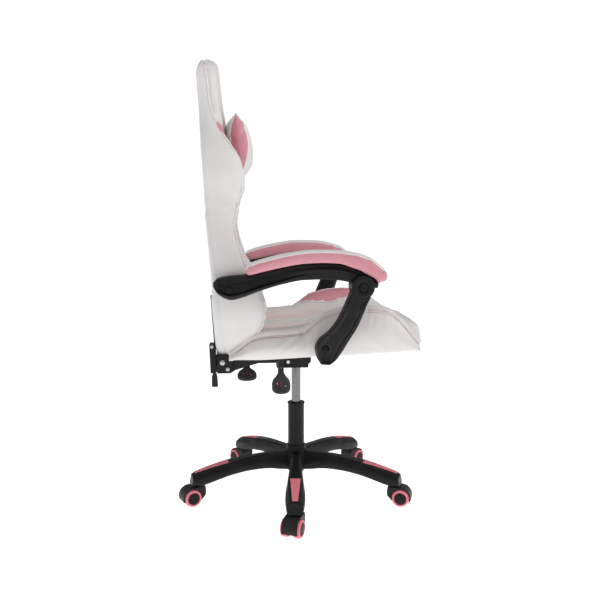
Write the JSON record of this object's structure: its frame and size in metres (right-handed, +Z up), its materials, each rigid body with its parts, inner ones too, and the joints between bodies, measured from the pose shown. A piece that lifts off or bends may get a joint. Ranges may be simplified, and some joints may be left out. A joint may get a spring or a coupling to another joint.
{
  "type": "gaming chair",
  "caption": "High-back racing-style swivel chair with side wings, head pillow, linked armrests, reclining back, rocking seat, gas lift and a star base on twin-wheel casters.",
  "frame": {"origin": "on the floor, under the axis of the gas lift column", "axes": "+X the way the sitter faces, +Y the sitter's left, +Z up"},
  "size_m": [0.7222, 0.7133, 1.299],
  "materials": {
    "black_nylon": "satin moulded nylon",
    "rose_nylon": "ribbed satin rose nylon",
    "rose_tread": "satin rose polyurethane tread with black side discs",
    "black_steel": "black powder coat",
    "chrome_steel": "polished chrome",
    "zinc_steel": "bright zinc plate",
    "white_leather": "warm white coated fabric with fine grain",
    "rose_leather": "rose coated fabric with fine grain"
  },
  "bodies": {
    "base": {"star_base": "black_nylon", "leg_insert_1": "rose_nylon", "leg_insert_2": "rose_nylon", "leg_insert_3": "rose_nylon", "leg_insert_4": "rose_nylon", "leg_insert_5": "rose_nylon", "column_tube": "black_steel", "guide_bushing": "black_nylon", "thrust_bearing": "zinc_steel", "retaining_clip": "zinc_steel"},
    "rod": {"piston_rod": "chrome_steel"},
    "carriage": {"gas_spring_tube": "chrome_steel", "mechanism_base": "black_steel", "tilt_shaft": "zinc_steel"},
    "release_button": {"release_button": "zinc_steel"},
    "height_lever": {"height_lever": "black_nylon"},
    "seat": {"seat_plate": "black_steel", "seat_frame": "black_steel", "seat_cushion": "white_leather", "seat_bolster_left": "white_leather", "seat_bolster_right": "white_leather", "recliner_plate_left": "black_steel", "recliner_plate_right": "black_steel", "recline_bolt_left": "zinc_steel", "recline_bolt_right": "zinc_steel"},
    "tilt_lever": {"tilt_lever": "black_nylon"},
    "back": {"back_frame": "black_steel", "back_cover": "white_leather", "back_cushion": "white_leather", "back_wing_left": "white_leather", "back_wing_right": "white_leather", "head_pillow": "rose_leather", "back_bracket_left": "black_steel", "back_bracket_right": "black_steel", "arm_bolt_left": "black_nylon", "arm_bolt_right": "black_nylon"},
    "recline_lever": {"recline_lever": "black_nylon"},
    "arm_left": {"arm_left": "black_nylon", "arm_pad_left": "rose_leather", "elbow_bolt_left": "black_nylon"},
    "strut_left": {"strut_left": "black_nylon"},
    "arm_right": {"arm_right": "black_nylon", "arm_pad_right": "rose_leather", "elbow_bolt_right": "black_nylon"},
    "strut_right": {"strut_right": "black_nylon"},
    "caster_1": {"caster_1_housing": "black_nylon"},
    "caster_1_wheel_left": {"caster_1_wheel_left": "rose_tread"},
    "caster_1_wheel_right": {"caster_1_wheel_right": "rose_tread"},
    "caster_2": {"caster_2_housing": "black_nylon"},
    "caster_2_wheel_left": {"caster_2_wheel_left": "rose_tread"},
    "caster_2_wheel_right": {"caster_2_wheel_right": "rose_tread"},
    "caster_3": {"caster_3_housing": "black_nylon"},
    "caster_3_wheel_left": {"caster_3_wheel_left": "rose_tread"},
    "caster_3_wheel_right": {"caster_3_wheel_right": "rose_tread"},
    "caster_4": {"caster_4_housing": "black_nylon"},
    "caster_4_wheel_left": {"caster_4_wheel_left": "rose_tread"},
    "caster_4_wheel_right": {"caster_4_wheel_right": "rose_tread"},
    "caster_5": {"caster_5_housing": "black_nylon"},
    "caster_5_wheel_left": {"caster_5_wheel_left": "rose_tread"},
    "caster_5_wheel_right": {"caster_5_wheel_right": "rose_tread"}
  },
  "joints": [
    {"name": "chair_swivel", "type": "hinge", "parent": "base", "child": "rod", "pos_m": [0, 0, 0.08], "axis": [0, 0, 1], "continuous": true},
    {"name": "seat_lift", "type": "slide", "parent": "rod", "child": "carriage", "axis": [0, 0, 1], "range_m": [-0.1, 0]},
    {"name": "height_lever_lift", "type": "hinge", "parent": "carriage", "child": "height_lever", "pos_m": [-0.052, -0.045, 0.4175], "axis": [-1, 0, 0], "range_deg": [0, 5], "stiffness_Nm_per_rad": 0.6, "springref_deg": -5.73},
    {"name": "release_button_press", "type": "slide", "parent": "carriage", "child": "release_button", "axis": [0, 0, 1], "range_m": [-0.004, 0]},
    {"name": "seat_tilt", "type": "hinge", "parent": "carriage", "child": "seat", "pos_m": [-0.03, 0, 0.4305], "axis": [0, -1, 0], "range_deg": [0, 10], "stiffness_Nm_per_rad": 110, "springref_deg": -14.32},
    {"name": "tilt_lever_turn", "type": "hinge", "parent": "seat", "child": "tilt_lever", "pos_m": [-0.15, -0.075, 0.4225], "axis": [-1, 0, 0], "range_deg": [-12, 0]},
    {"name": "back_recline", "type": "hinge", "parent": "seat", "child": "back", "pos_m": [-0.217, 0, 0.455], "axis": [0, -1, 0], "range_deg": [0, 43]},
    {"name": "recline_lever_pull", "type": "hinge", "parent": "back", "child": "recline_lever", "pos_m": [-0.2395, -0.195, 0.4195], "axis": [0, 1, 0], "range_deg": [0, 20], "stiffness_Nm_per_rad": 0.15, "springref_deg": -5.73},
    {"name": "arm_left_pivot", "type": "hinge", "parent": "back", "child": "arm_left", "pos_m": [-0.196, 0.28, 0.662], "axis": [0, -1, 0], "range_deg": [-35, 0]},
    {"name": "strut_left_pivot", "type": "hinge", "parent": "arm_left", "child": "strut_left", "pos_m": [0.15, 0.31, 0.672], "axis": [0, -1, 0], "range_deg": [0, 40]},
    {"name": "arm_right_pivot", "type": "hinge", "parent": "back", "child": "arm_right", "pos_m": [-0.196, -0.28, 0.662], "axis": [0, -1, 0], "range_deg": [-35, 0]},
    {"name": "strut_right_pivot", "type": "hinge", "parent": "arm_right", "child": "strut_right", "pos_m": [0.15, -0.31, 0.672], "axis": [0, -1, 0], "range_deg": [0, 40]},
    {"name": "caster_1_swivel", "type": "hinge", "parent": "base", "child": "caster_1", "pos_m": [-0.02432, -0.30904, 0.075], "axis": [0, 0, 1], "continuous": true},
    {"name": "caster_1_roll_left", "type": "hinge", "parent": "caster_1", "child": "caster_1_wheel_left", "pos_m": [-0.03246, -0.32732, 0.025], "axis": [0.9135, -0.4067, 0], "continuous": true},
    {"name": "caster_1_roll_right", "type": "hinge", "parent": "caster_1", "child": "caster_1_wheel_right", "pos_m": [-0.03246, -0.32732, 0.025], "axis": [0.9135, -0.4067, 0], "continuous": true},
    {"name": "caster_2_swivel", "type": "hinge", "parent": "base", "child": "caster_2", "pos_m": [0.2864, -0.11863, 0.075], "axis": [0, 0, 1], "continuous": true},
    {"name": "caster_2_roll_left", "type": "hinge", "parent": "caster_2", "child": "caster_2_wheel_left", "pos_m": [0.30531, -0.12514, 0.025], "axis": [0.3256, 0.9455, 0], "continuous": true},
    {"name": "caster_2_roll_right", "type": "hinge", "parent": "caster_2", "child": "caster_2_wheel_right", "pos_m": [0.30531, -0.12514, 0.025], "axis": [0.3256, 0.9455, 0], "continuous": true},
    {"name": "caster_3_swivel", "type": "hinge", "parent": "base", "child": "caster_3", "pos_m": [0.20133, 0.23573, 0.075], "axis": [0, 0, 1], "continuous": true},
    {"name": "caster_3_roll_left", "type": "hinge", "parent": "caster_3", "child": "caster_3_wheel_left", "pos_m": [0.21522, 0.25011, 0.025], "axis": [-0.7193, 0.6947, 0], "continuous": true},
    {"name": "caster_3_roll_right", "type": "hinge", "parent": "caster_3", "child": "caster_3_wheel_right", "pos_m": [0.21522, 0.25011, 0.025], "axis": [-0.7193, 0.6947, 0], "continuous": true},
    {"name": "caster_4_swivel", "type": "hinge", "parent": "base", "child": "caster_4", "pos_m": [-0.16198, 0.26432, 0.075], "axis": [0, 0, 1], "continuous": true},
    {"name": "caster_4_roll_left", "type": "hinge", "parent": "caster_4", "child": "caster_4_wheel_left", "pos_m": [-0.17373, 0.2805, 0.025], "axis": [-0.809, -0.5878, 0], "continuous": true},
    {"name": "caster_4_roll_right", "type": "hinge", "parent": "caster_4", "child": "caster_4_wheel_right", "pos_m": [-0.17373, 0.2805, 0.025], "axis": [-0.809, -0.5878, 0], "continuous": true},
    {"name": "caster_5_swivel", "type": "hinge", "parent": "base", "child": "caster_5", "pos_m": [-0.30144, -0.07237, 0.075], "axis": [0, 0, 1], "continuous": true},
    {"name": "caster_5_roll_left", "type": "hinge", "parent": "caster_5", "child": "caster_5_wheel_left", "pos_m": [-0.31971, -0.0805, 0.025], "axis": [0.4067, -0.9135, 0], "continuous": true},
    {"name": "caster_5_roll_right", "type": "hinge", "parent": "caster_5", "child": "caster_5_wheel_right", "pos_m": [-0.31971, -0.0805, 0.025], "axis": [0.4067, -0.9135, 0], "continuous": true}
  ],
  "couplings": [
    {"joint": "release_button_press", "follows": "height_lever_lift", "m_per_rad": -0.045},
    {"joint": "arm_left_pivot", "follows": "back_recline", "ratio": -0.79},
    {"joint": "strut_left_pivot", "follows": "back_recline", "ratio": 0.9056},
    {"joint": "arm_right_pivot", "follows": "back_recline", "ratio": -0.79},
    {"joint": "strut_right_pivot", "follows": "back_recline", "ratio": 0.9056}
  ]
}
